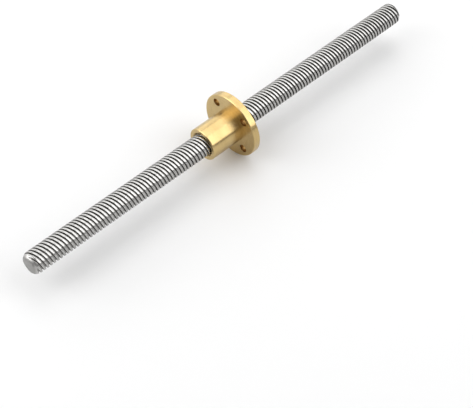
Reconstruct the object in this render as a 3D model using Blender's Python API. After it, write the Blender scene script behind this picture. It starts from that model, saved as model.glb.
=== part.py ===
"""A trapezoidal lead screw with its flanged nut.

The screw lies along X, its front end towards -X, and the nut's flange just reaches
down to z = 0. The origin is in the middle of the screw's length, on that level.
"""

import math

import bmesh
import bpy
from mathutils import Matrix, Vector

MM = 0.001
TURN = 2.0 * math.pi

# Thread: right-hand and trapezoidal, with several starts side by side
THREAD_MAJOR_DIAMETER = 11.9 * MM
THREAD_DEPTH = 0.9 * MM
THREAD_PITCH = 2.0 * MM
THREAD_STARTS = 5
THREAD_CREST_WIDTH = 1.05 * MM
THREAD_FLANK_ANGLE = math.radians(15.0)
THREAD_COLUMNS = 11

# Screw: a bar that is threaded from end to end, its front end rounded further than its far one
SCREW_LENGTH = 250.0 * MM
FRONT_ROUNDING_LENGTH = 3.5 * MM
FAR_ROUNDING_LENGTH = 2.2 * MM
END_FACE_SETBACK = 0.65 * MM

# Nut: a barrel on the front side of a round flange, bored and drilled
NUT_BARREL_LENGTH = 19.0 * MM
NUT_BARREL_WALL = 2.85 * MM
NUT_FLANGE_THICKNESS = 4.0 * MM
NUT_FLANGE_OVERHANG = 8.85 * MM
NUT_EDGE_CHAMFER = 0.3 * MM
NUT_BORE_MOUTH = 0.8 * MM
NUT_BORE_CLEARANCE = 0.1 * MM
NUT_DISTANCE_FROM_FRONT = 109.0 * MM

BOLT_HOLES = 4
BOLT_HOLE_DIAMETER = 4.3 * MM
BOLT_CIRCLE_INSET = 4.2 * MM
BOLT_HOLE_FIRST_ANGLE = math.radians(45.0)

# Facets that round surfaces are made of
NUT_FACETS = 56
ENVELOPE_FACETS = 22
BOLT_HOLE_FACETS = 16
ROUNDING_STEPS = 4

# How far a guide stands proud of what it cuts
DRILL_MARGIN = 1.0 * MM
ENVELOPE_CLEARANCE = 0.05 * MM

thread_major_radius = THREAD_MAJOR_DIAMETER / 2.0
thread_root_radius = thread_major_radius - THREAD_DEPTH
thread_lead = THREAD_PITCH * THREAD_STARTS
end_face_radius = thread_root_radius - END_FACE_SETBACK
nut_bore_radius = thread_major_radius + NUT_BORE_CLEARANCE
nut_barrel_radius = nut_bore_radius + NUT_BARREL_WALL
nut_flange_radius = nut_barrel_radius + NUT_FLANGE_OVERHANG
nut_length = NUT_BARREL_LENGTH + NUT_FLANGE_THICKNESS
bolt_circle_radius = nut_flange_radius - BOLT_CIRCLE_INSET
axis_height = nut_flange_radius


def clear_scene():
    for thing in list(bpy.data.objects):
        bpy.data.objects.remove(thing, do_unlink=True)


def make_material(name, color, roughness):
    """A bare metal."""
    material = bpy.data.materials.new(name)
    material.use_nodes = True
    shader = material.node_tree.nodes["Principled BSDF"]
    shader.inputs["Base Color"].default_value = (*color, 1.0)
    shader.inputs["Metallic"].default_value = 1.0
    shader.inputs["Roughness"].default_value = roughness
    return material


def add_object(name, mesh_builder, material=None):
    """Puts a finished mesh builder into the scene as a smooth-shaded object."""
    mesh = bpy.data.meshes.new(name)
    mesh_builder.to_mesh(mesh)
    mesh_builder.free()
    mesh.shade_smooth()
    mesh.set_sharp_from_angle(angle=math.radians(30.0))
    thing = bpy.data.objects.new(name, mesh)
    bpy.context.scene.collection.objects.link(thing)
    if material:
        mesh.materials.append(material)
    return thing


def add_modifier_cut(thing, cutter, operation):
    """Cuts a thing with a hidden guide object, which follows it."""
    cutter.parent = thing
    cutter.hide_render = True
    cutter.display_type = "WIRE"
    cut = thing.modifiers.new(cutter.name, "BOOLEAN")
    cut.operation = operation
    cut.solver = "EXACT"
    cut.object = cutter


def add_profile(builder, points, closed):
    """Draws a profile of (x, radius) points in the XZ half plane and returns its parts."""
    corners = [builder.verts.new((x, 0.0, radius)) for x, radius in points]
    edges = [builder.edges.new(pair) for pair in zip(corners, corners[1:])]
    if closed:
        edges.append(builder.edges.new((corners[-1], corners[0])))
    return corners + edges


def turned(points, facets, closed):
    """Turns a profile about the X axis, with a facet's middle straight below the axis."""
    builder = bmesh.new()
    profile = add_profile(builder, points, closed)
    bmesh.ops.spin(
        builder, geom=profile, axis=(1, 0, 0), cent=(0, 0, 0), angle=TURN, steps=facets
    )
    bmesh.ops.remove_doubles(builder, verts=builder.verts, dist=1e-6)
    bmesh.ops.rotate(
        builder, verts=builder.verts, cent=(0, 0, 0), matrix=Matrix.Rotation(TURN / facets / 2, 3, "X")
    )
    bmesh.ops.recalc_face_normals(builder, faces=builder.faces)
    return builder


def across_flats(radius, facets):
    """The corner radius of a regular polygon whose flats touch a circle of this radius."""
    return radius / math.cos(math.pi / facets)


def thread_profile(pitches):
    """Crest and root corners along the bar. The first and last lead are plain, at the root."""
    flank_run = THREAD_DEPTH * math.tan(THREAD_FLANK_ANGLE)
    crest_start = (THREAD_PITCH - THREAD_CREST_WIDTH) / 2.0
    crest_end = crest_start + THREAD_CREST_WIDTH
    corners = [
        (crest_start - flank_run, thread_root_radius),
        (crest_start, thread_major_radius),
        (crest_end, thread_major_radius),
        (crest_end + flank_run, thread_root_radius),
    ]
    points = []
    for pitch in range(pitches):
        plain = pitch < THREAD_STARTS or pitch >= pitches - THREAD_STARTS
        for offset, radius in corners:
            points.append((pitch * THREAD_PITCH + offset, thread_root_radius if plain else radius))
    return points


def close_ragged_end(builder, side, apex_x):
    """Fans the open edge on one side of the bar to a point on its axis."""
    apex = builder.verts.new((apex_x, 0.0, 0.0))
    rim = [edge for edge in builder.edges if edge.is_boundary and edge.verts[0].co.x * side > 0]
    for edge in rim:
        builder.faces.new((apex, *edge.verts))


def threaded_bar():
    """A threaded bar, longer than the screw by more than a lead at each end.

    The whole profile is swept once round the axis while it moves one lead forward,
    so that each thread line runs into the one that starts beside it.
    """
    pitches = math.ceil(SCREW_LENGTH / THREAD_PITCH) + 4 * THREAD_STARTS
    middle = (pitches * THREAD_PITCH + thread_lead) / 2.0
    points = [(x - middle, radius) for x, radius in thread_profile(pitches)]
    builder = bmesh.new()
    profile = add_profile(builder, points, closed=False)
    bmesh.ops.spin(
        builder,
        geom=profile,
        axis=(1, 0, 0),
        cent=(0, 0, 0),
        dvec=(thread_lead / THREAD_COLUMNS, 0, 0),
        angle=TURN,
        steps=THREAD_COLUMNS,
    )
    bmesh.ops.remove_doubles(builder, verts=builder.verts, dist=1e-6)
    close_ragged_end(builder, -1, points[0][0])
    close_ragged_end(builder, +1, points[-1][0] + thread_lead)
    bmesh.ops.recalc_face_normals(builder, faces=builder.faces)
    return builder


def rounded_end(tip_x, direction, length):
    """An arc from the edge of the flat end face to the crests, where it runs level."""
    outer_radius = thread_major_radius + ENVELOPE_CLEARANCE
    drop = outer_radius - end_face_radius
    arc_radius = (length**2 + drop**2) / (2.0 * drop)
    arc_angle = 2.0 * math.atan2(drop, length)
    points = []
    for step in range(ROUNDING_STEPS + 1):
        angle = arc_angle * (1.0 - step / ROUNDING_STEPS)
        x = tip_x + direction * (length - arc_radius * math.sin(angle))
        radius = outer_radius - arc_radius * (1.0 - math.cos(angle))
        points.append((x, across_flats(radius, ENVELOPE_FACETS)))
    return points


def screw_envelope():
    """The turned outline that the bar is cut to."""
    front = rounded_end(-SCREW_LENGTH / 2.0, +1, FRONT_ROUNDING_LENGTH)
    far = rounded_end(SCREW_LENGTH / 2.0, -1, FAR_ROUNDING_LENGTH)
    points = [(front[0][0], 0.0), *front, *reversed(far), (far[0][0], 0.0)]
    return turned(points, ENVELOPE_FACETS, closed=False)


def build_lead_screw(steel):
    screw = add_object("lead_screw", threaded_bar(), steel)
    envelope = add_object("lead_screw_envelope", screw_envelope())
    add_modifier_cut(screw, envelope, "INTERSECT")
    screw.location = (0.0, 0.0, axis_height)
    return screw


def nut_profile():
    """The nut's wall from the barrel's end, x = 0, to the flange's outer face."""
    bore = across_flats(nut_bore_radius, NUT_FACETS)
    mouth = across_flats(nut_bore_radius + NUT_BORE_MOUTH, NUT_FACETS)
    barrel = across_flats(nut_barrel_radius, NUT_FACETS)
    barrel_edge = across_flats(nut_barrel_radius - NUT_EDGE_CHAMFER, NUT_FACETS)
    rim = across_flats(nut_flange_radius, NUT_FACETS)
    rim_edge = across_flats(nut_flange_radius - NUT_EDGE_CHAMFER, NUT_FACETS)
    return [
        (0.0, mouth),
        (0.0, barrel_edge),
        (NUT_EDGE_CHAMFER, barrel),
        (NUT_BARREL_LENGTH, barrel),
        (NUT_BARREL_LENGTH, rim_edge),
        (NUT_BARREL_LENGTH + NUT_EDGE_CHAMFER, rim),
        (nut_length - NUT_EDGE_CHAMFER, rim),
        (nut_length, rim_edge),
        (nut_length, mouth),
        (nut_length - NUT_BORE_MOUTH, bore),
        (NUT_BORE_MOUTH, bore),
    ]


def bolt_hole_drills():
    """One pin for each bolt hole, long enough to pass right through the flange."""
    builder = bmesh.new()
    middle_x = NUT_BARREL_LENGTH + NUT_FLANGE_THICKNESS / 2.0
    for hole in range(BOLT_HOLES):
        angle = BOLT_HOLE_FIRST_ANGLE + hole * TURN / BOLT_HOLES
        centre = Vector((middle_x, math.cos(angle), math.sin(angle)))
        centre.yz *= bolt_circle_radius
        bmesh.ops.create_cone(
            builder,
            cap_ends=True,
            segments=BOLT_HOLE_FACETS,
            radius1=across_flats(BOLT_HOLE_DIAMETER / 2.0, BOLT_HOLE_FACETS),
            radius2=across_flats(BOLT_HOLE_DIAMETER / 2.0, BOLT_HOLE_FACETS),
            depth=NUT_FLANGE_THICKNESS + 2.0 * DRILL_MARGIN,
            matrix=Matrix.Translation(centre) @ Matrix.Rotation(TURN / 4.0, 4, "Y"),
        )
    return builder


def build_flange_nut(screw, brass):
    nut = add_object("flange_nut", turned(nut_profile(), NUT_FACETS, closed=True), brass)
    drills = add_object("flange_nut_drills", bolt_hole_drills())
    add_modifier_cut(nut, drills, "DIFFERENCE")
    nut.parent = screw
    nut.location = (NUT_DISTANCE_FROM_FRONT - SCREW_LENGTH / 2.0, 0.0, 0.0)
    return nut


def main():
    clear_scene()
    steel = make_material("rolled_steel", (0.62, 0.61, 0.59), 0.28)
    brass = make_material("turned_brass", (0.78, 0.57, 0.23), 0.30)
    screw = build_lead_screw(steel)
    build_flange_nut(screw, brass)


main()
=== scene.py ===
# %% [markdown]
# # Dressing a lead screw and its flanged nut
#
# A lead screw turns rotation into travel: its thread pushes a nut along. This one is a
# rolled steel bar with a trapezoidal thread from end to end, and a brass nut with a round
# flange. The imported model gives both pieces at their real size, with a coarse thread and a
# plain bore in the nut. The lesson keeps every size and place, and makes the fine surface:
# a rounded thread, a real thread inside the nut, and the two metals.
#
# Everything is in metres. The screw lies along X, and the floor is z = 0.

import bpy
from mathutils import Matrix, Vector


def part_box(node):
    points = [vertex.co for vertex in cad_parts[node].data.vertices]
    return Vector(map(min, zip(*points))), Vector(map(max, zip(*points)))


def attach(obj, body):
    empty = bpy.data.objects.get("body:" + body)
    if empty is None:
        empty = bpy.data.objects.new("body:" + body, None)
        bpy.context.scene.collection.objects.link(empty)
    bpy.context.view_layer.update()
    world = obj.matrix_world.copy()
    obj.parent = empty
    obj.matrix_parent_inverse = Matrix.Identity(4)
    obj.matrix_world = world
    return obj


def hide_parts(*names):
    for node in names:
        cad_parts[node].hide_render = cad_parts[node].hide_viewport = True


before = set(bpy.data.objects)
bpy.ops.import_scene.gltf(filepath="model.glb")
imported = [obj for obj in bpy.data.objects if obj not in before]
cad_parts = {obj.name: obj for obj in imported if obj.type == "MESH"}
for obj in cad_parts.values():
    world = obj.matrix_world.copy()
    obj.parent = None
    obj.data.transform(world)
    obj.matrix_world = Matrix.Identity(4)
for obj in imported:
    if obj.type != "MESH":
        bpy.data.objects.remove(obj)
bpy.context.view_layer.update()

# %% Python's and Blender's own modules
import math

import bmesh
import bpy
from mathutils import Euler, Matrix, Vector

# %% [markdown]
# ## Sizes
#
# What can be read from the frame is read from it: the bar's length, the height of its
# axis, the nut's two ends and the flange's radius. What the coarse solids don't show as a
# number, such as the pitch, is written down once, at the step that needs it, as a maker
# would write it on a drawing.

# %% Read the sizes from the frame
MM = 0.001
TURN = 2.0 * math.pi

screw_low, screw_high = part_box("lead_screw")
nut_low, nut_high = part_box("flange_nut")
bar_length = screw_high.x - screw_low.x
flange_radius = (nut_high.z - nut_low.z) / 2.0
axis_height = (nut_high.z + nut_low.z) / 2.0
nut_front_x = nut_low.x
nut_back_x = nut_high.x
print(f"bar {bar_length / MM:.1f} mm long, its axis {axis_height / MM:.2f} mm up")
print(f"flange radius {flange_radius / MM:.2f} mm, nut {(nut_back_x - nut_front_x) / MM:.1f} mm long")

# %% [markdown]
# ## Helpers for node trees
#
# A tree of nodes is easier to read as lines of code when adding a node and feeding it is
# one short call. An input is fed by another node's socket or by a plain value. The same
# helpers serve the trees that make shapes and the trees of the materials.

# %% Add a node and feed it
def feed(tree, socket, value):
    """Links another socket to this one, or sets its plain value."""
    if isinstance(value, bpy.types.NodeSocket):
        tree.links.new(value, socket)
    else:
        socket.default_value = value


def add_node(tree, kind, inputs=None, **settings):
    """Adds a node with its settings, and feeds the inputs that are named."""
    node = tree.nodes.new(kind)
    for name, value in settings.items():
        setattr(node, name, value)
    for name, value in (inputs or {}).items():
        feed(tree, node.inputs[name], value)
    return node


def calculate(tree, operation, *values):
    """One step of arithmetic, such as ADD or MULTIPLY, on sockets or numbers."""
    node = tree.nodes.new("ShaderNodeMath")
    node.operation = operation
    for socket, value in zip(node.inputs, values):
        feed(tree, socket, value)
    return node.outputs[0]


def point(tree, x, y, z):
    """A vector from three sockets or numbers."""
    return add_node(tree, "ShaderNodeCombineXYZ", {"X": x, "Y": y, "Z": z}).outputs[0]


# %% Start a tree, and give it to an object
def new_tree(name, inputs):
    """An empty geometry tree whose inputs are named, with a kind for each."""
    tree = bpy.data.node_groups.new(name, "GeometryNodeTree")
    tree.interface.new_socket("Geometry", in_out="OUTPUT", socket_type="NodeSocketGeometry")
    for label, kind in inputs.items():
        tree.interface.new_socket(label, in_out="INPUT", socket_type="NodeSocket" + kind)
    return tree, tree.nodes.new("NodeGroupInput").outputs


def finish_tree(tree, geometry, material):
    """Ends a tree in plain geometry with its material."""
    realized = add_node(tree, "GeometryNodeRealizeInstances", {"Geometry": geometry})
    painted = add_node(
        tree, "GeometryNodeSetMaterial", {"Geometry": realized.outputs[0], "Material": material}
    )
    output = tree.nodes.new("NodeGroupOutput")
    tree.links.new(painted.outputs[0], output.inputs[0])


def grow(name, tree, values):
    """Runs a tree with these values, and keeps the result as a plain mesh object."""
    seed = bpy.data.objects.new(name + "_seed", bpy.data.meshes.new(name + "_seed"))
    bpy.context.scene.collection.objects.link(seed)
    modifier = seed.modifiers.new(tree.name, "NODES")
    modifier.node_group = tree
    for item in tree.interface.items_tree:
        if item.in_out == "INPUT":
            modifier[item.identifier] = values[item.name]
    evaluated = seed.evaluated_get(bpy.context.evaluated_depsgraph_get())
    mesh = bpy.data.meshes.new_from_object(evaluated)
    seed.modifiers.remove(modifier)
    bpy.data.objects.remove(seed)
    mesh.name = name
    grown = bpy.data.objects.new(name, mesh)
    bpy.context.scene.collection.objects.link(grown)
    return grown


# %% [markdown]
# ## The thread
#
# On the real bar, dies press ridges into the steel, so the thread is one wave that is
# wrapped round the bar. Sweeping a ridge along a spiral would give five ridges that only
# lie on a core. A better way is to wrap a grid: one direction runs along the bar and
# follows the thread's profile, the other runs once round it. Each column is moved along
# by its share of the lead, the distance that the nut travels in one turn. The lead is a
# whole number of pitches, so the last column meets the first one, five ridges further on.
#
# The profile is Blender's four-point curve, opened, with filleted crests. Copies of it
# stand side by side along the bar, and each point of the grid looks up its own point
# in that row.

# %% One ridge of the thread
CREST_FILLET_STEPS = 2
PROFILE_CUTS = 1


def ridge_profile(tree, size):
    """Foot, crest and foot of one ridge, as an open curve of x and radius."""
    root = calculate(tree, "SUBTRACT", size["Crest Radius"], size["Thread Depth"])
    half = calculate(tree, "MULTIPLY", size["Crest Width"], 0.5)
    foot = calculate(tree, "ADD", half, size["Flank Run"])
    corners = {
        "Point 1": point(tree, calculate(tree, "MULTIPLY", foot, -1.0), root, 0.0),
        "Point 2": point(tree, calculate(tree, "MULTIPLY", half, -1.0), size["Crest Radius"], 0.0),
        "Point 3": point(tree, half, size["Crest Radius"], 0.0),
        "Point 4": point(tree, foot, root, 0.0),
    }
    ring = add_node(tree, "GeometryNodeCurvePrimitiveQuadrilateral", corners, mode="POINTS")
    opened = add_node(
        tree, "GeometryNodeSetSplineCyclic", {"Geometry": ring.outputs[0], "Cyclic": False}
    )
    filleted = add_node(
        tree,
        "GeometryNodeFilletCurve",
        {
            "Curve": opened.outputs[0],
            "Count": CREST_FILLET_STEPS,
            "Radius": size["Crest Rounding"],
        },
        mode="POLY",
    )
    finer = add_node(
        tree, "GeometryNodeSubdivideCurve", {"Curve": filleted.outputs[0], "Cuts": PROFILE_CUTS}
    )
    return finer.outputs[0]


# %% Ridges side by side, past both ends of the bar
RIDGE_PHASE = 0.5
SPARE_RIDGES = 2.0


def ridge_row(tree, size):
    """Copies of the ridge a pitch apart, in a row that passes both ends at every column.

    They stand half a pitch off the middle, so that the middle lies in a groove.
    """
    ridge = ridge_profile(tree, size)
    half_bar = calculate(tree, "MULTIPLY", size["Bar Length"], 0.5)
    half_count = calculate(tree, "CEIL", calculate(tree, "DIVIDE", half_bar, size["Pitch"]))
    whole = calculate(tree, "ADD", half_count, size["Starts"])
    before = calculate(tree, "ADD", whole, RIDGE_PHASE)
    spare = calculate(tree, "ADD", size["Starts"], SPARE_RIDGES)
    count = calculate(tree, "ADD", calculate(tree, "MULTIPLY", half_count, 2.0), spare)
    back = calculate(tree, "MULTIPLY", before, size["Pitch"])
    first = calculate(tree, "MULTIPLY", back, -1.0)
    line = add_node(
        tree,
        "GeometryNodeMeshLine",
        {
            "Count": count,
            "Start Location": point(tree, first, 0.0, 0.0),
            "Offset": point(tree, size["Pitch"], 0.0, 0.0),
        },
        mode="OFFSET",
    )
    copies = add_node(
        tree, "GeometryNodeInstanceOnPoints", {"Points": line.outputs[0], "Instance": ridge}
    )
    row = add_node(tree, "GeometryNodeRealizeInstances", {"Geometry": copies.outputs[0]})
    return row.outputs[0]


# %% The place of each grid point on the wave
def unroll(tree, size, row):
    """A grid, the point of the ridges that each of its points follows, and its share of a turn."""
    row_size = add_node(tree, "GeometryNodeAttributeDomainSize", {"Geometry": row}, component="CURVE")
    row_points = row_size.outputs["Point Count"]
    around = calculate(tree, "ADD", size["Columns"], 1.0)
    grid = add_node(tree, "GeometryNodeMeshGrid", {"Vertices X": row_points, "Vertices Y": around})
    index = tree.nodes.new("GeometryNodeInputIndex").outputs[0]
    along = calculate(tree, "FLOOR", calculate(tree, "DIVIDE", index, around))
    column = calculate(tree, "SUBTRACT", index, calculate(tree, "MULTIPLY", along, around))
    profile = add_node(
        tree,
        "GeometryNodeSampleIndex",
        {
            "Geometry": row,
            "Value": tree.nodes.new("GeometryNodeInputPosition").outputs[0],
            "Index": along,
        },
        data_type="FLOAT_VECTOR",
        domain="POINT",
    )
    corner = add_node(tree, "ShaderNodeSeparateXYZ", {"Vector": profile.outputs["Value"]})
    share = calculate(tree, "DIVIDE", column, size["Columns"])
    return grid.outputs["Mesh"], corner.outputs["X"], corner.outputs["Y"], share


# %% [markdown]
# ## The ends of the bar
#
# The real bar has both ends rounded down to a small flat face. They could be cut with a
# Boolean, which leaves thin faces where the cut grazes the crests. Here the grid itself is
# pulled in instead: a point past the end moves back to it, and no point stands outside an
# arc that rises from the flat face. At the front the grooves run out on the rounding.

# %% The radius of a rounded end
def square(tree, value):
    """A number times itself."""
    return calculate(tree, "MULTIPLY", value, value)


def nose_radius(tree, distance, length, outer, face):
    """The radius of an arc that rises from the end face and is level after this length."""
    drop = calculate(tree, "SUBTRACT", outer, face)
    both_squares = calculate(tree, "ADD", square(tree, length), square(tree, drop))
    arc = calculate(tree, "DIVIDE", both_squares, calculate(tree, "MULTIPLY", drop, 2.0))
    inside = calculate(tree, "MAXIMUM", calculate(tree, "SUBTRACT", length, distance), 0.0)
    height_squared = calculate(tree, "SUBTRACT", square(tree, arc), square(tree, inside))
    height = calculate(tree, "SQRT", height_squared)
    return calculate(tree, "ADD", calculate(tree, "SUBTRACT", outer, arc), height)


# %% Pull the ends in
def pull_in(tree, size, moved, ridge_radius):
    """The x and radius of each point, kept within the bar's length and its rounded ends."""
    half = calculate(tree, "MULTIPLY", size["Bar Length"], 0.5)
    low = calculate(tree, "MULTIPLY", half, -1.0)
    x = calculate(tree, "MINIMUM", calculate(tree, "MAXIMUM", moved, low), half)
    from_front = calculate(tree, "ADD", x, half)
    from_far = calculate(tree, "SUBTRACT", half, x)

    outer, face = size["Rounding Radius"], size["End Face Radius"]
    front = nose_radius(tree, from_front, size["Front Rounding"], outer, face)
    far = nose_radius(tree, from_far, size["Far Rounding"], outer, face)
    skin = calculate(tree, "MINIMUM", calculate(tree, "MINIMUM", front, far), size["Crest Radius"])
    full_depth = calculate(tree, "MAXIMUM", calculate(tree, "SUBTRACT", skin, ridge_radius), 0.0)
    run_out = calculate(tree, "DIVIDE", from_front, size["Front Run Out"])
    depth = calculate(tree, "MULTIPLY", full_depth, calculate(tree, "MINIMUM", run_out, 1.0))
    return x, calculate(tree, "SUBTRACT", skin, depth), depth


# %% The flat faces
def end_disc(tree, size, side):
    """The flat face at one end of the bar."""
    disc = add_node(
        tree,
        "GeometryNodeMeshCircle",
        {"Vertices": size["Columns"], "Radius": size["End Face Radius"]},
        fill_type="TRIANGLE_FAN",
    )
    end_x = calculate(tree, "MULTIPLY", size["Bar Length"], 0.5 * side)
    placed = add_node(
        tree,
        "GeometryNodeTransform",
        {
            "Geometry": disc.outputs[0],
            "Translation": point(tree, end_x, 0.0, size["Axis Height"]),
            "Rotation": (0.0, side * TURN / 4.0, 0.0),
        },
    )
    return placed.outputs[0]


# %% [markdown]
# ## The whole bar
#
# One tree makes the bar from named sizes, so that it can run again later with others. It
# wraps the grid round the axis and welds the flat faces on. Two numbers are stored at each
# point for the finish: how far it is sunk below the outside, and how far down its flank
# it lies.

# %% The tree's inputs
THREAD_INPUTS = {
    "Bar Length": "Float",
    "Crest Radius": "Float",
    "Thread Depth": "Float",
    "Pitch": "Float",
    "Starts": "Int",
    "Crest Width": "Float",
    "Flank Run": "Float",
    "Crest Rounding": "Float",
    "Columns": "Int",
    "Front Rounding": "Float",
    "Far Rounding": "Float",
    "Rounding Radius": "Float",
    "End Face Radius": "Float",
    "Front Run Out": "Float",
    "Axis Height": "Float",
    "Finish": "Material",
}

# %% The whole tree
THREAD_WELD = 0.002 * MM


def build_thread_tree():
    """The tree for a threaded bar, used for the screw and for the tap that threads the nut."""
    tree, size = new_tree("threaded_bar", THREAD_INPUTS)
    mesh, ridge_x, ridge_radius, share = unroll(tree, size, ridge_row(tree, size))
    lead = calculate(tree, "MULTIPLY", size["Pitch"], size["Starts"])
    moved = calculate(tree, "ADD", ridge_x, calculate(tree, "MULTIPLY", lead, share))
    x, radius, depth = pull_in(tree, size, moved, ridge_radius)

    angle = calculate(tree, "MULTIPLY", share, TURN)
    minus_radius = calculate(tree, "MULTIPLY", radius, -1.0)
    side = calculate(tree, "MULTIPLY", minus_radius, calculate(tree, "SINE", angle))
    rise = calculate(tree, "MULTIPLY", radius, calculate(tree, "COSINE", angle))
    place = point(tree, x, side, calculate(tree, "ADD", rise, size["Axis Height"]))

    below_crest = calculate(tree, "SUBTRACT", size["Crest Radius"], ridge_radius)
    stored = {
        "sunk": calculate(tree, "DIVIDE", depth, size["Thread Depth"]),
        "down_flank": calculate(tree, "DIVIDE", below_crest, size["Thread Depth"]),
    }
    for label, value in stored.items():
        mesh = add_node(
            tree,
            "GeometryNodeStoreNamedAttribute",
            {"Geometry": mesh, "Name": label, "Value": value},
            data_type="FLOAT",
            domain="POINT",
        ).outputs[0]
    wrapped = add_node(tree, "GeometryNodeSetPosition", {"Geometry": mesh, "Position": place})
    outward = add_node(tree, "GeometryNodeFlipFaces", {"Mesh": wrapped.outputs[0]})
    joined = tree.nodes.new("GeometryNodeJoinGeometry")
    for part in (outward.outputs[0], end_disc(tree, size, -1), end_disc(tree, size, +1)):
        tree.links.new(part, joined.inputs[0])
    welded = add_node(
        tree, "GeometryNodeMergeByDistance", {"Geometry": joined.outputs[0], "Distance": THREAD_WELD}
    )
    finish_tree(tree, welded.outputs[0], size["Finish"])
    return tree


thread_tree = build_thread_tree()
print("thread tree:", len(thread_tree.nodes), "nodes")

# %% [markdown]
# ## Steel
#
# The crests of a rolled thread are burnished bright, with fine scratches along the bar
# from handling. The flanks are painted dark, partly for a film of oil and scale and
# partly as painted shade in the deep grooves, and the roots between them are painted grey
# as shade. A picture laid on the bar could show this, but it would blur close up and need
# a seam. The two stored numbers tell crest, flank and root apart wherever they lie. Noise
# that is stretched along the bar gives the scratches, and the front end is ground: plain,
# without scratches, and its flat face is painted darker, partly as a duller ground finish
# and partly as painted shade.

# %% Helpers for surfaces
def new_finish(name):
    """A material, its tree, its metal shader and the object's coordinates."""
    material = bpy.data.materials.new(name)
    material.use_nodes = True
    tree = material.node_tree
    shader = tree.nodes["Principled BSDF"]
    shader.inputs["Metallic"].default_value = 1.0
    place = tree.nodes.new("ShaderNodeTexCoord").outputs["Object"]
    return material, tree, shader, place


def ramp(tree, value, low, high):
    """Spreads a value between two limits over 0 to 1."""
    node = add_node(tree, "ShaderNodeMapRange", {"Value": value, "From Min": low, "From Max": high})
    return node.outputs[0]


def blend_colors(tree, share, first, second):
    """A colour that goes from the first to the second as the share goes from 0 to 1."""
    node = add_node(tree, "ShaderNodeMix", data_type="RGBA")
    feed(tree, node.inputs["Factor"], share)
    ends = [socket for socket in node.inputs if socket.type == "RGBA"]
    for socket, color in zip(ends, (first, second)):
        feed(tree, socket, color if isinstance(color, bpy.types.NodeSocket) else (*color, 1.0))
    return next(socket for socket in node.outputs if socket.type == "RGBA")


def blend_values(tree, share, first, second):
    """A number that goes from the first to the second as the share goes from 0 to 1."""
    node = add_node(tree, "ShaderNodeMapRange", {"Value": share, "To Min": first, "To Max": second})
    return node.outputs[0]


def noise(tree, place, stretch, scale, detail):
    """Noise that is stretched by these factors along X, Y and Z."""
    scaled = add_node(tree, "ShaderNodeMapping", {"Vector": place, "Scale": stretch})
    node = add_node(
        tree, "ShaderNodeTexNoise", {"Vector": scaled.outputs[0], "Scale": scale, "Detail": detail}
    )
    return node.outputs[0]


RELIEF_DEPTH = 0.02 * MM


def add_relief(tree, shader, height, strength):
    """Makes a height of 0 to 1 catch the light as a fine relief."""
    values = {"Height": height, "Strength": strength, "Distance": RELIEF_DEPTH}
    feed(tree, shader.inputs["Normal"], add_node(tree, "ShaderNodeBump", values).outputs[0])


# %% Colours, edges and roughness of the steel
STEEL_BRIGHT = (0.48, 0.474, 0.462)
STEEL_SCRATCH = (0.345, 0.34, 0.33)
# The root and flank colours are painted shade in the deep grooves; the flank's also stands for a film
# of oil and scale.
STEEL_ROOT_PAINTED_SHADE = (0.25, 0.245, 0.235)
STEEL_FLANK_OIL_AND_SHADE = (0.09, 0.087, 0.08)
# The end face's colour is partly a duller ground finish and partly painted shade on the rounded end.
STEEL_END_DULL_AND_SHADE = (0.31, 0.305, 0.295)
END_EDGE = (0.05 * MM, 0.9 * MM)
GROUND_NOSE = (0.3 * MM, 1.6 * MM)
GROOVE_EDGE = (0.02, 0.2)
ROOT_EDGE = (0.86, 0.97)
SCRATCH_STRETCH = (0.06, 1.0, 1.0)
SCRATCH_SCALE = 2600.0
SCRATCH_DETAIL = 3.0
SCRATCH_EDGE = (0.45, 0.72)
SCRATCH_RELIEF = 0.12
CREST_ROUGHNESS = 0.2
SCRATCH_ROUGHNESS = 0.32
FLANK_ROUGHNESS = 0.5
ROOT_ROUGHNESS = 0.3
GROUND_ROUGHNESS = 0.38

# %% Rolled steel
def make_steel():
    """Bright crests with scratches, flanks and roots painted dark as shade and oil, and a ground
    front end with a face painted darker.
    """
    material, tree, shader, place = new_finish("rolled_steel")
    sunk, down_flank = (
        add_node(tree, "ShaderNodeAttribute", attribute_name=label).outputs["Fac"]
        for label in ("sunk", "down_flank")
    )
    where = add_node(tree, "ShaderNodeSeparateXYZ", {"Vector": place})
    from_front = calculate(tree, "ADD", where.outputs["X"], bar_length / 2.0)
    rolled = ramp(tree, from_front, *GROUND_NOSE)
    in_groove = calculate(tree, "MULTIPLY", ramp(tree, sunk, *GROOVE_EDGE), rolled)
    at_root = ramp(tree, down_flank, *ROOT_EDGE)
    grain = noise(tree, place, SCRATCH_STRETCH, SCRATCH_SCALE, SCRATCH_DETAIL)
    scratches = calculate(tree, "MULTIPLY", ramp(tree, grain, *SCRATCH_EDGE), rolled)

    # The flat end face is painted darker: a duller ground finish and painted shade.
    end_dull_and_shade_color = blend_colors(tree, ramp(tree, from_front, *END_EDGE), STEEL_END_DULL_AND_SHADE, STEEL_BRIGHT)
    crest_color = blend_colors(tree, scratches, end_dull_and_shade_color, STEEL_SCRATCH)
    # Painted shade in the grooves: dark flanks, which also stand for oil, and grey roots.
    groove_oil_and_shade = blend_colors(tree, at_root, STEEL_FLANK_OIL_AND_SHADE, STEEL_ROOT_PAINTED_SHADE)
    feed(tree, shader.inputs["Base Color"], blend_colors(tree, in_groove, crest_color, groove_oil_and_shade))

    crest_roughness = blend_values(tree, scratches, CREST_ROUGHNESS, SCRATCH_ROUGHNESS)
    groove_roughness = blend_values(tree, at_root, FLANK_ROUGHNESS, ROOT_ROUGHNESS)
    rolled_roughness = blend_values(tree, in_groove, crest_roughness, groove_roughness)
    roughness = blend_values(tree, rolled, GROUND_ROUGHNESS, rolled_roughness)
    feed(tree, shader.inputs["Roughness"], roughness)
    add_relief(tree, shader, scratches, SCRATCH_RELIEF)
    return material


steel = make_steel()
print("steel:", len(steel.node_tree.nodes), "nodes")

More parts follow.
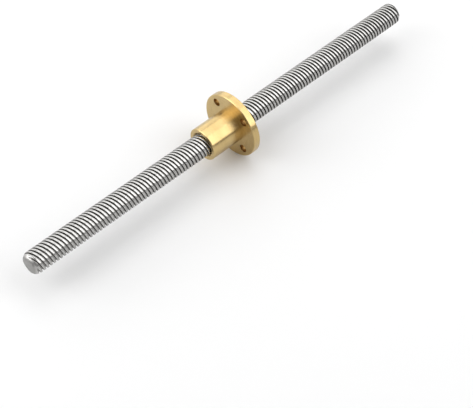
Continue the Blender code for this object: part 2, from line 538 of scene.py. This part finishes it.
# %% [markdown]
# ## The screw
#
# The tree runs once with the screw's sizes. The result becomes a plain mesh, rides on the
# screw's body, and stands for the coarse solid. Crests shade smoothly into their fillets
# and the end face into its rounding, and the corners at the foot of each flank stay sharp.

# %% Sizes of the thread
THREAD_MAJOR_RADIUS = 5.95 * MM
THREAD_DEPTH = 0.9 * MM
THREAD_PITCH = 2.0 * MM
THREAD_STARTS = 5
THREAD_CREST_WIDTH = 1.05 * MM
THREAD_FLANK_ANGLE = math.radians(15.0)
THREAD_FLANK_RUN = THREAD_DEPTH * math.tan(THREAD_FLANK_ANGLE)
THREAD_CREST_ROUNDING = 0.11 * MM
THREAD_COLUMNS = 48
print(f"the nut travels {THREAD_STARTS * THREAD_PITCH / MM:.0f} mm in one turn")

# %% Sizes of the ends
FRONT_ROUNDING = 3.5 * MM
FAR_ROUNDING = 2.2 * MM
ROUNDING_RADIUS = 6.0 * MM
END_FACE_RADIUS = 4.4 * MM
FRONT_RUN_OUT = 2.0 * MM
print(f"the ends are rounded over {FRONT_ROUNDING / MM:.1f} and {FAR_ROUNDING / MM:.1f} mm")

# %% Shade and measure a piece
def shade(thing, sharp_corner):
    """Smooth shading that keeps corners of more than this angle."""
    thing.data.shade_smooth()
    thing.data.set_sharp_from_angle(angle=sharp_corner)


def measure(thing):
    """Says how many triangles a mesh has, and whether it is closed and faces outwards."""
    builder = bmesh.new()
    builder.from_mesh(thing.data)
    open_edges = sum(1 for edge in builder.edges if not edge.is_manifold)
    triangles = sum(len(face.verts) - 2 for face in builder.faces)
    volume = builder.calc_volume(signed=True)
    builder.free()
    print(f"{thing.name}: {triangles} triangles, {open_edges} open edges, {volume / MM ** 3:.0f} mm3")


# %% Make the screw
SHARP_CORNER_OF_SCREW = math.radians(43.0)


def thread_values(length, clearance, material):
    """The tree's inputs for a bar of this length, with its ridges grown by a clearance."""
    return {
        "Bar Length": length,
        "Crest Radius": THREAD_MAJOR_RADIUS + clearance,
        "Thread Depth": THREAD_DEPTH,
        "Pitch": THREAD_PITCH,
        "Starts": THREAD_STARTS,
        "Crest Width": THREAD_CREST_WIDTH + 2.0 * clearance,
        "Flank Run": THREAD_FLANK_RUN,
        "Crest Rounding": THREAD_CREST_ROUNDING,
        "Columns": THREAD_COLUMNS,
        "Front Rounding": FRONT_ROUNDING,
        "Far Rounding": FAR_ROUNDING,
        "Rounding Radius": ROUNDING_RADIUS + clearance,
        "End Face Radius": END_FACE_RADIUS,
        "Front Run Out": FRONT_RUN_OUT,
        "Axis Height": axis_height,
        "Finish": material,
    }


screw = grow("threaded_screw", thread_tree, thread_values(bar_length, 0.0, steel))
shade(screw, SHARP_CORNER_OF_SCREW)
measure(screw)
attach(screw, "screw")
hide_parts("lead_screw")

# %% [markdown]
# ## Brass
#
# The nut is turned from brass bar. The cutter leaves fine rings: along the barrel they
# are spaced in x, on the flange's faces they are spaced in radius. The barrel and the
# faces could have a material each. But x plus radius is one number that changes along
# both, and noise of that number alone draws the rings on them all.
#
# Such rings also stretch every reflection across themselves, so the shader is
# anisotropic, and its tangent is the way that the cutter travels, across the rings. The
# walls of the drilled holes are painted dark brass, as painted shade inside the holes.

# %% Colours, rings and patches of the brass
BRASS_BRIGHT = (0.58, 0.432, 0.2)
BRASS_DULL = (0.5, 0.36, 0.158)
# The colour of the painted shade inside the bolt holes.
BRASS_HOLE_SHADE = (0.31, 0.18, 0.06)
RING_SCALE = 5200.0
RING_DETAIL = 3.0
RING_ROUGHNESS = (0.2, 0.34)
RING_RELIEF = 0.25
RING_STRETCH = 0.7
PATCH_STRETCH = (1.0, 1.0, 1.0)
PATCH_SCALE = 160.0
PATCH_DETAIL = 4.0
PATCH_EDGE = (0.35, 0.75)

# %% Where the bolt holes are
BOLT_HOLES = 4
BOLT_HOLE_RADIUS = 2.15 * MM
BOLT_CIRCLE_RADIUS = 13.55 * MM
BOLT_HOLE_FIRST_ANGLE = math.radians(45.0)
HOLE_EDGE = 0.05 * MM


def hypotenuse(tree, first, second):
    """The long side of a right triangle, from its two short sides."""
    return calculate(tree, "SQRT", calculate(tree, "ADD", square(tree, first), square(tree, second)))


def outside_bolt_holes(tree, y, up):
    """1 where a point lies outside the four bolt holes, and 0 on their walls."""
    bolt_middle = BOLT_CIRCLE_RADIUS * math.cos(BOLT_HOLE_FIRST_ANGLE)
    from_middle = [
        calculate(tree, "SUBTRACT", calculate(tree, "ABSOLUTE", side), bolt_middle)
        for side in (y, up)
    ]
    from_hole = hypotenuse(tree, *from_middle)
    return calculate(tree, "GREATER_THAN", from_hole, BOLT_HOLE_RADIUS + HOLE_EDGE)


print(f"{BOLT_HOLES} bolt holes on a circle of {2.0 * BOLT_CIRCLE_RADIUS / MM:.1f} mm")

# %% Turned brass
def make_brass():
    """Turned brass with fine rings, soft patches and painted shade on the walls of the bolt holes."""
    material, tree, shader, place = new_finish("turned_brass")
    where = add_node(tree, "ShaderNodeSeparateXYZ", {"Vector": place})
    x, y = where.outputs["X"], where.outputs["Y"]
    up = calculate(tree, "SUBTRACT", where.outputs["Z"], axis_height)
    radius = hypotenuse(tree, y, up)
    rings = add_node(
        tree,
        "ShaderNodeTexNoise",
        {"W": calculate(tree, "ADD", x, radius), "Scale": RING_SCALE, "Detail": RING_DETAIL},
        noise_dimensions="1D",
    ).outputs[0]

    clouds = noise(tree, place, PATCH_STRETCH, PATCH_SCALE, PATCH_DETAIL)
    turned = blend_colors(tree, ramp(tree, clouds, *PATCH_EDGE), BRASS_BRIGHT, BRASS_DULL)
    # The walls of the bolt holes get painted shade.
    color = blend_colors(tree, outside_bolt_holes(tree, y, up), BRASS_HOLE_SHADE, turned)
    feed(tree, shader.inputs["Base Color"], color)
    feed(tree, shader.inputs["Roughness"], blend_values(tree, rings, *RING_ROUGHNESS))
    add_relief(tree, shader, rings, RING_RELIEF)

    outward = [calculate(tree, "DIVIDE", side, radius) for side in (y, up)]
    feed(tree, shader.inputs["Tangent"], point(tree, 1.0, *outward))
    shader.inputs["Anisotropic"].default_value = RING_STRETCH
    return material


brass = make_brass()
print("brass:", len(brass.node_tree.nodes), "nodes")

# %% [markdown]
# ## The nut
#
# The nut is made as it is on a lathe: a blank is turned, then drilled and tapped. The
# blank is a profile spun round the axis. Spinning can't make holes beside the axis or a
# thread, so these are cut. The drills are four pins that a small tree puts on the bolt
# circle. The tap is the thread tree again, a little larger than the screw, so the nut's
# thread fits round the screw's with a clearance. Two Booleans do the cutting.

# %% Sizes of the nut
THREAD_CLEARANCE = 0.1 * MM
BARREL_RADIUS = 8.9 * MM
FLANGE_THICKNESS = 4.0 * MM
EDGE_CHAMFER = 0.3 * MM
BORE_MOUTH_RADIUS = 6.85 * MM
print(f"barrel {2.0 * BARREL_RADIUS / MM:.1f} mm across, flange {FLANGE_THICKNESS / MM:.1f} mm thick")

# %% Turn the blank
NUT_FACETS = 144
BLANK_WELD = 0.001 * MM


def turn_blank():
    """The nut's outside, with a countersink at each end of the bore."""
    core = THREAD_MAJOR_RADIUS - THREAD_DEPTH - THREAD_CLEARANCE
    sink = BORE_MOUTH_RADIUS - core
    shoulder_x = nut_back_x - FLANGE_THICKNESS
    outline = [
        (nut_front_x + sink, core),
        (nut_front_x, BORE_MOUTH_RADIUS),
        (nut_front_x, BARREL_RADIUS - EDGE_CHAMFER),
        (nut_front_x + EDGE_CHAMFER, BARREL_RADIUS),
        (shoulder_x, BARREL_RADIUS),
        (shoulder_x, flange_radius - EDGE_CHAMFER),
        (shoulder_x + EDGE_CHAMFER, flange_radius),
        (nut_back_x - EDGE_CHAMFER, flange_radius),
        (nut_back_x, flange_radius - EDGE_CHAMFER),
        (nut_back_x, BORE_MOUTH_RADIUS),
        (nut_back_x - sink, core),
    ]
    builder = bmesh.new()
    corners = [builder.verts.new((x, 0.0, axis_height + radius)) for x, radius in outline]
    edges = [builder.edges.new(pair) for pair in zip(corners, corners[1:] + corners[:1])]
    bmesh.ops.spin(
        builder,
        geom=corners + edges,
        axis=(1.0, 0.0, 0.0),
        cent=(0.0, 0.0, axis_height),
        angle=TURN,
        steps=NUT_FACETS,
    )
    bmesh.ops.remove_doubles(builder, verts=builder.verts, dist=BLANK_WELD)
    bmesh.ops.recalc_face_normals(builder, faces=builder.faces)
    mesh = bpy.data.meshes.new("turned_nut")
    builder.to_mesh(mesh)
    builder.free()
    mesh.materials.append(brass)
    blank = bpy.data.objects.new("turned_nut", mesh)
    bpy.context.scene.collection.objects.link(blank)
    return blank


nut = turn_blank()
measure(nut)

# %% Pins on the bolt circle
DRILL_FACETS = 40
DRILL_INPUTS = {
    "Holes": "Int",
    "Circle Radius": "Float",
    "First Angle": "Float",
    "Drill Radius": "Float",
    "Drill Length": "Float",
    "Middle X": "Float",
    "Axis Height": "Float",
    "Finish": "Material",
}


def build_drill_tree():
    """The tree for pins along X, evenly round the bolt circle."""
    tree, size = new_tree("bolt_drills", DRILL_INPUTS)
    circle = add_node(
        tree, "GeometryNodeMeshCircle", {"Vertices": size["Holes"], "Radius": size["Circle Radius"]}
    )
    pin = add_node(
        tree,
        "GeometryNodeMeshCylinder",
        {"Vertices": DRILL_FACETS, "Radius": size["Drill Radius"], "Depth": size["Drill Length"]},
    )
    pins = add_node(
        tree,
        "GeometryNodeInstanceOnPoints",
        {"Points": circle.outputs[0], "Instance": pin.outputs["Mesh"]},
    )
    spun = add_node(
        tree,
        "GeometryNodeTransform",
        {"Geometry": pins.outputs[0], "Rotation": point(tree, 0.0, 0.0, size["First Angle"])},
    )
    placed = add_node(
        tree,
        "GeometryNodeTransform",
        {
            "Geometry": spun.outputs[0],
            "Translation": point(tree, size["Middle X"], 0.0, size["Axis Height"]),
            "Rotation": (0.0, TURN / 4.0, 0.0),
        },
    )
    finish_tree(tree, placed.outputs[0], size["Finish"])
    return tree


# %% Make the drills
DRILL_MARGIN = 1.0 * MM

drills = grow(
    "drills",
    build_drill_tree(),
    {
        "Holes": BOLT_HOLES,
        "Circle Radius": BOLT_CIRCLE_RADIUS,
        "First Angle": BOLT_HOLE_FIRST_ANGLE,
        "Drill Radius": BOLT_HOLE_RADIUS,
        "Drill Length": FLANGE_THICKNESS + 2.0 * DRILL_MARGIN,
        "Middle X": nut_back_x - FLANGE_THICKNESS / 2.0,
        "Axis Height": axis_height,
        "Finish": brass,
    },
)
measure(drills)

# %% A tap in step with the screw
TAP_MARGIN = 7.0 * MM

tap_length = 2.0 * (max(abs(nut_front_x), abs(nut_back_x)) + TAP_MARGIN)
tap = grow("tap", thread_tree, thread_values(tap_length, THREAD_CLEARANCE, brass))
measure(tap)

# %% Drill and tap the nut
SHARP_CORNER_OF_NUT = math.radians(32.0)


def cut(thing, cutter):
    """Takes the cutter's volume out of a thing, and throws the cutter away."""
    modifier = thing.modifiers.new("cut", "BOOLEAN")
    modifier.operation = "DIFFERENCE"
    modifier.solver = "EXACT"
    modifier.object = cutter
    evaluated = thing.evaluated_get(bpy.context.evaluated_depsgraph_get())
    mesh = bpy.data.meshes.new_from_object(evaluated)
    thing.modifiers.remove(modifier)
    thing.data = mesh
    bpy.data.objects.remove(cutter)


cut(nut, drills)
cut(nut, tap)
shade(nut, SHARP_CORNER_OF_NUT)
measure(nut)
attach(nut, "nut")
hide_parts("flange_nut")

# %% [markdown]
# ## Floor and room
#
# The photograph has a plain white ground. Strong light on a white backdrop would give
# that too, but it would also fall on the metal. Here the floor is plain and pale, and
# fades into a pale room far away. Light Path tells apart the rays that see the room, from
# the camera and from the metal, so it looks pale to them and adds hardly any light of
# its own. The floor keeps the object's shadow.

# %% Which rays see the room
ROOM_LIGHT = 0.06
ROOM_SEEN = 0.4


def seen_by_eye_or_metal(tree):
    """1 for a ray from the camera, from a gloss or through glass, and 0 for soft light."""
    rays = tree.nodes.new("ShaderNodeLightPath").outputs
    glossy = calculate(tree, "MAXIMUM", rays["Is Glossy Ray"], rays["Is Transmission Ray"])
    return calculate(tree, "MAXIMUM", rays["Is Camera Ray"], glossy)


# %% The floor
FLOOR_SIZE = 40.0
FLOOR_COLOR = (0.87, 0.87, 0.87)
FLOOR_FADES = (0.4, 1.6)
FLOOR_ROUGHNESS = 0.9


def add_floor():
    """A pale floor under everything, which fades into the room with distance."""
    bpy.ops.mesh.primitive_plane_add(size=FLOOR_SIZE, location=(0.0, 0.0, 0.0))
    floor = bpy.context.object
    floor.name = "floor"
    material = bpy.data.materials.new("pale_floor")
    material.use_nodes = True
    tree = material.node_tree
    shader = tree.nodes["Principled BSDF"]
    shader.inputs["Base Color"].default_value = (*FLOOR_COLOR, 1.0)
    shader.inputs["Roughness"].default_value = FLOOR_ROUGHNESS
    shader.inputs["Specular IOR Level"].default_value = 0.0
    place = tree.nodes.new("ShaderNodeTexCoord").outputs["Object"]
    distance = add_node(tree, "ShaderNodeVectorMath", {0: place}, operation="LENGTH").outputs["Value"]
    far_away = ramp(tree, distance, *FLOOR_FADES)
    share = calculate(tree, "MULTIPLY", far_away, seen_by_eye_or_metal(tree))
    room = add_node(tree, "ShaderNodeEmission", {"Strength": ROOM_SEEN})
    faded = add_node(
        tree, "ShaderNodeMixShader", {"Fac": share, 1: shader.outputs[0], 2: room.outputs[0]}
    )
    tree.links.new(faded.outputs[0], tree.nodes["Material Output"].inputs["Surface"])
    floor.data.materials.append(material)


add_floor()
print(f"floor {FLOOR_SIZE:.0f} m wide, plain up to {FLOOR_FADES[0]} m from the screw")

# %% The room's own light
def light_room():
    """A pale room all round, much brighter to the eye and in metal than its light is."""
    world = bpy.data.worlds.new("room")
    world.use_nodes = True
    tree = world.node_tree
    background = tree.nodes["Background"]
    background.inputs["Color"].default_value = (1.0, 1.0, 1.0, 1.0)
    strength = blend_values(tree, seen_by_eye_or_metal(tree), ROOM_LIGHT, ROOM_SEEN)
    feed(tree, background.inputs["Strength"], strength)
    bpy.context.scene.world = world


light_room()
print(f"room seen at {ROOM_SEEN}, its light {ROOM_LIGHT}")

# %% [markdown]
# ## Light
#
# Bright metal shows what stands round it, so the light is part of the finish. Small lamps
# would put a hard spark on every crest, so these are large and soft. The soft box beside
# the bar ends a little above the floor: its lower edge draws the hard line where the
# bright upper side of the thread turns grey. The top, back and left boxes carry on round
# the bar, with narrow gaps that give the upper side its soft bands, and the front box
# lights the rounded end.

# %% Soft boxes
SOFT_BOX_DISTANCE = 1.0

# Of each lamp: its lowest and highest angle, its lean, its width and its radiance.
SOFT_BOXES = {
    "side_soft_box": (14.0, 77.0, 24.0, 0.85, 2.3),
    "top_soft_box": (78.0, 134.0, 19.0, 0.9, 1.75),
    "back_soft_box": (139.0, 178.0, 0.0, 2.2, 1.33),
    "left_soft_box": (78.0, 138.0, -37.0, 0.8, 1.5),
    "front_soft_box": (105.0, 165.0, -47.0, 0.6, 1.85),
}


def add_soft_box(name, low, high, lean, width, radiance):
    """A rectangular lamp over a range of angles round the screw, from the floor in front.

    Angles are in degrees and the width in metres. The lean is how far the lamp's middle is
    turned towards the screw's far end. A radiance of 1 looks white.
    """
    middle = math.radians((low + high) / 2.0)
    across = math.cos(math.radians(lean))
    along = math.sin(math.radians(lean))
    outward = Vector((along, -across * math.cos(middle), across * math.sin(middle)))
    upward = Vector((0.0, math.sin(middle), math.cos(middle)))
    sideways = upward.cross(outward)
    lamp = bpy.data.lights.new(name, "AREA")
    lamp.shape = "RECTANGLE"
    lamp.size = width
    lamp.size_y = 2.0 * SOFT_BOX_DISTANCE * math.tan(across * math.radians(high - low) / 2.0)
    lamp.energy = radiance * math.pi * lamp.size * lamp.size_y
    box = bpy.data.objects.new(name, lamp)
    place = Vector((0.0, 0.0, axis_height)) + outward * SOFT_BOX_DISTANCE
    turn = Matrix((sideways, upward, outward)).transposed().to_4x4()
    box.matrix_world = Matrix.Translation(place) @ turn
    bpy.context.scene.collection.objects.link(box)


for name, (low, high, lean, width, radiance) in SOFT_BOXES.items():
    add_soft_box(name, low, high, lean, width, radiance)
    print(f"{name}: {low:.0f} to {high:.0f} degrees, radiance {radiance}")

# %% [markdown]
# ## Camera
#
# The camera could be moved by eye until the picture looks right. Here its place and lens
# come from measures in the photograph: where the ends and the flange lie, and how the
# thread's pitch shrinks with distance. The Standard view transform shows each colour as
# it is written, without a film's curve.

# %% Set the camera
CAMERA_PLACE = (-0.3132, -0.3360, 0.5109)
CAMERA_DOWN = math.radians(50.26)
CAMERA_TURN = math.radians(-43.67)
CAMERA_LENS_MM = 101.9
SENSOR_WIDTH_MM = 36.0


def add_camera():
    """The camera that stands where the photograph was taken from."""
    lens = bpy.data.cameras.new("camera")
    lens.lens = CAMERA_LENS_MM
    lens.sensor_width = SENSOR_WIDTH_MM
    camera = bpy.data.objects.new("camera", lens)
    camera.location = CAMERA_PLACE
    camera.rotation_euler = Euler((TURN / 4.0 - CAMERA_DOWN, 0.0, CAMERA_TURN))
    bpy.context.scene.collection.objects.link(camera)
    bpy.context.scene.camera = camera


add_camera()
bpy.context.scene.view_settings.view_transform = "Standard"
print(f"camera {Vector(CAMERA_PLACE).length:.2f} m from the middle, lens {CAMERA_LENS_MM} mm")
